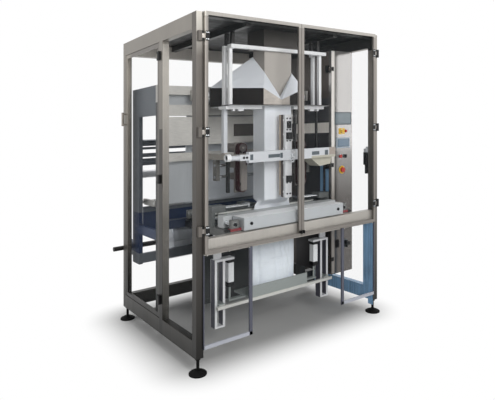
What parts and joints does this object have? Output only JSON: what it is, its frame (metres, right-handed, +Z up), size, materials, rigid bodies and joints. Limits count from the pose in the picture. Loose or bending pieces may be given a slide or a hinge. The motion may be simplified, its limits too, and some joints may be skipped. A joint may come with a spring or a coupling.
{
  "type": "vertical form fill sealer",
  "caption": "Vertical form fill seal packaging machine in a stainless guard frame with clear doors, forming collar, pull belts, sealing jaws, bag lift, film unwinder and control cabinet.",
  "frame": {"origin": "centre of the machine's bounding box on the floor under the feet", "axes": "+Z up, -Y towards the operator at the front doors, +X to the operator's right where the cabinet stands"},
  "size_m": [1.736, 1.4349, 2.2],
  "materials": {
    "stainless": "satin",
    "dark_steel": "satin",
    "aluminium": "satin",
    "machined_steel": "satin",
    "chrome_rod": "polished",
    "film": "satin",
    "polycarbonate": "clear",
    "black_plastic": "satin",
    "rubber": "matte",
    "belt_rubber": "matte",
    "blue_steel": "satin",
    "cylinder_white": "satin",
    "heater": "matte",
    "screen": "gloss",
    "red_plastic": "gloss",
    "yellow_plastic": "gloss",
    "electronics": "matte"
  },
  "bodies": {
    "machine": {"guard_frame": "stainless", "roof_panel": "dark_steel", "levelling_feet": "rubber", "guard_panes": "polycarbonate", "guard_screws": "machined_steel", "door_fittings": "black_plastic", "main_frame": "machined_steel", "guide_rods": "chrome_rod", "air_cylinders": "cylinder_white", "fill_tube": "stainless", "forming_shoulder": "dark_steel", "collar_frame": "aluminium", "film_tube": "film", "bag": "film", "gantry": "aluminium", "hanger_rods": "black_plastic", "lift_columns": "aluminium", "unwinder_frame": "blue_steel", "film_web": "film", "cabinet_body": "stainless", "control_modules": "electronics"},
    "left_door": {"left_door_frame": "stainless", "left_door_pane": "polycarbonate"},
    "left_latch": {"left_latch": "black_plastic"},
    "right_door": {"right_door_frame": "stainless", "right_door_pane": "polycarbonate"},
    "right_latch": {"right_latch": "black_plastic"},
    "side_door": {"side_door_frame": "stainless", "side_door_pane": "polycarbonate"},
    "cabinet_door": {"cabinet_door": "stainless", "touch_screens": "screen"},
    "emergency_stop": {"emergency_stop": "red_plastic"},
    "stop_button": {"stop_button": "red_plastic"},
    "reset_button": {"reset_button": "yellow_plastic"},
    "selector_knob": {"selector_knob": "black_plastic"},
    "main_switch": {"main_switch": "black_plastic"},
    "front_jaw": {"front_jaw": "machined_steel", "front_jaw_cover": "aluminium"},
    "knife": {"knife": "machined_steel"},
    "rear_jaw": {"rear_jaw": "machined_steel"},
    "seal_bar": {"seal_bar": "aluminium", "seal_heater": "heater"},
    "left_belt_unit": {"left_belt_carriage": "machined_steel", "left_belt": "belt_rubber"},
    "left_drive_pulley": {"left_drive_pulley": "aluminium"},
    "left_idler_pulley": {"left_idler_pulley": "aluminium"},
    "right_belt_unit": {"right_belt_carriage": "machined_steel", "right_belt": "belt_rubber"},
    "right_drive_pulley": {"right_drive_pulley": "aluminium"},
    "right_idler_pulley": {"right_idler_pulley": "aluminium"},
    "left_pusher": {"left_pusher": "chrome_rod"},
    "right_pusher": {"right_pusher": "chrome_rod"},
    "bag_trough": {"bag_trough": "machined_steel"},
    "reel": {"reel_shaft": "dark_steel", "film_roll": "film"},
    "idler_roller": {"idler_roller": "aluminium"},
    "feed_roller": {"feed_roller": "aluminium"},
    "entry_roller": {"entry_roller": "aluminium"},
    "dancer_arms": {"dancer_arms": "machined_steel"},
    "dancer_roller": {"dancer_roller": "aluminium"}
  },
  "joints": [
    {"name": "left_door_hinge", "type": "hinge", "parent": "machine", "child": "left_door", "pos_m": [-0.767, -0.6865, 1.468], "axis": [0, 0, -1], "range_deg": [0, 95]},
    {"name": "left_latch_turn", "type": "hinge", "parent": "left_door", "child": "left_latch", "pos_m": [0.005, -0.686, 0.757], "axis": [0, 1, 0], "range_deg": [0, 90]},
    {"name": "right_door_hinge", "type": "hinge", "parent": "machine", "child": "right_door", "pos_m": [0.801, -0.6865, 1.468], "axis": [0, 0, 1], "range_deg": [0, 95]},
    {"name": "right_latch_turn", "type": "hinge", "parent": "right_door", "child": "right_latch", "pos_m": [0.029, -0.686, 0.757], "axis": [0, -1, 0], "range_deg": [0, 90]},
    {"name": "side_door_hinge", "type": "hinge", "parent": "machine", "child": "side_door", "pos_m": [-0.813, -0.1505, 1.157], "axis": [0, 0, 1], "range_deg": [0, 95]},
    {"name": "cabinet_door_hinge", "type": "hinge", "parent": "machine", "child": "cabinet_door", "pos_m": [0.564, -0.414, 1.16], "axis": [0, 0, -1], "range_deg": [0, 50]},
    {"name": "emergency_stop_press", "type": "slide", "parent": "cabinet_door", "child": "emergency_stop", "axis": [0, 1, 0], "range_m": [0, 0.005], "stiffness_N_per_m": 800},
    {"name": "stop_button_press", "type": "slide", "parent": "cabinet_door", "child": "stop_button", "axis": [0, 1, 0], "range_m": [0, 0.005], "stiffness_N_per_m": 500},
    {"name": "reset_button_press", "type": "slide", "parent": "cabinet_door", "child": "reset_button", "axis": [0, 1, 0], "range_m": [0, 0.005], "stiffness_N_per_m": 500},
    {"name": "selector_turn", "type": "hinge", "parent": "cabinet_door", "child": "selector_knob", "pos_m": [0.723, -0.4275, 1.24], "axis": [0, 1, 0], "range_deg": [-45, 45]},
    {"name": "main_switch_turn", "type": "hinge", "parent": "cabinet_door", "child": "main_switch", "pos_m": [0.733, -0.4275, 0.52], "axis": [0, 1, 0], "range_deg": [0, 90]},
    {"name": "front_jaw_close", "type": "slide", "parent": "machine", "child": "front_jaw", "axis": [0, 1, 0], "range_m": [0, 0.0532]},
    {"name": "rear_jaw_close", "type": "slide", "parent": "machine", "child": "rear_jaw", "axis": [0, -1, 0], "range_m": [0, 0.0532]},
    {"name": "knife_stroke", "type": "slide", "parent": "front_jaw", "child": "knife", "axis": [0, 1, 0], "range_m": [0, 0.03]},
    {"name": "seal_bar_press", "type": "slide", "parent": "machine", "child": "seal_bar", "axis": [0, 1, 0], "range_m": [0, 0.038]},
    {"name": "left_belt_close", "type": "slide", "parent": "machine", "child": "left_belt_unit", "axis": [1, 0, 0], "range_m": [0, 0.117]},
    {"name": "right_belt_close", "type": "slide", "parent": "machine", "child": "right_belt_unit", "axis": [-1, 0, 0], "range_m": [0, 0.117]},
    {"name": "left_drive_spin", "type": "hinge", "parent": "left_belt_unit", "child": "left_drive_pulley", "pos_m": [-0.2658, -0.3675, 1.35], "axis": [0, 1, 0], "continuous": true},
    {"name": "left_idler_spin", "type": "hinge", "parent": "left_belt_unit", "child": "left_idler_pulley", "pos_m": [-0.2658, -0.3675, 1.069], "axis": [0, 1, 0], "continuous": true},
    {"name": "right_drive_spin", "type": "hinge", "parent": "right_belt_unit", "child": "right_drive_pulley", "pos_m": [0.2998, -0.3675, 1.35], "axis": [0, 1, 0], "continuous": true},
    {"name": "right_idler_spin", "type": "hinge", "parent": "right_belt_unit", "child": "right_idler_pulley", "pos_m": [0.2998, -0.3675, 1.069], "axis": [0, 1, 0], "continuous": true},
    {"name": "left_pusher_stroke", "type": "slide", "parent": "machine", "child": "left_pusher", "axis": [1, 0, 0], "range_m": [0, 0.03]},
    {"name": "right_pusher_stroke", "type": "slide", "parent": "machine", "child": "right_pusher", "axis": [-1, 0, 0], "range_m": [0, 0.03]},
    {"name": "bag_trough_lift", "type": "slide", "parent": "machine", "child": "bag_trough", "axis": [0, 0, 1], "range_m": [-0.11, 0]},
    {"name": "reel_spin", "type": "hinge", "parent": "machine", "child": "reel", "pos_m": [0.017, 0.5625, 0.555], "axis": [1, 0, 0], "continuous": true},
    {"name": "idler_roller_spin", "type": "hinge", "parent": "machine", "child": "idler_roller", "pos_m": [0.017, 0.4425, 1.15], "axis": [1, 0, 0], "continuous": true},
    {"name": "feed_roller_spin", "type": "hinge", "parent": "machine", "child": "feed_roller", "pos_m": [0.017, 0.1425, 1.66], "axis": [1, 0, 0], "continuous": true},
    {"name": "entry_roller_spin", "type": "hinge", "parent": "machine", "child": "entry_roller", "pos_m": [0.017, -0.1775, 1.74], "axis": [1, 0, 0], "continuous": true},
    {"name": "dancer_swing", "type": "hinge", "parent": "machine", "child": "dancer_arms", "pos_m": [0.017, 0.4325, 0.93], "axis": [-1, 0, 0], "range_deg": [0, 30]},
    {"name": "dancer_roller_spin", "type": "hinge", "parent": "dancer_arms", "child": "dancer_roller", "pos_m": [0.017, 0.2525, 0.93], "axis": [1, 0, 0], "continuous": true}
  ],
  "couplings": [
    {"joint": "rear_jaw_close", "follows": "front_jaw_close", "ratio": 1},
    {"joint": "right_belt_close", "follows": "left_belt_close", "ratio": 1},
    {"joint": "left_idler_spin", "follows": "left_drive_spin", "ratio": 1},
    {"joint": "right_drive_spin", "follows": "left_drive_spin", "ratio": -1},
    {"joint": "right_idler_spin", "follows": "left_drive_spin", "ratio": -1},
    {"joint": "right_pusher_stroke", "follows": "left_pusher_stroke", "ratio": 1},
    {"joint": "idler_roller_spin", "follows": "reel_spin", "ratio": -5.1667},
    {"joint": "feed_roller_spin", "follows": "reel_spin", "ratio": -3.875},
    {"joint": "entry_roller_spin", "follows": "reel_spin", "ratio": 6.2},
    {"joint": "dancer_roller_spin", "follows": "reel_spin", "ratio": 5.1667}
  ]
}
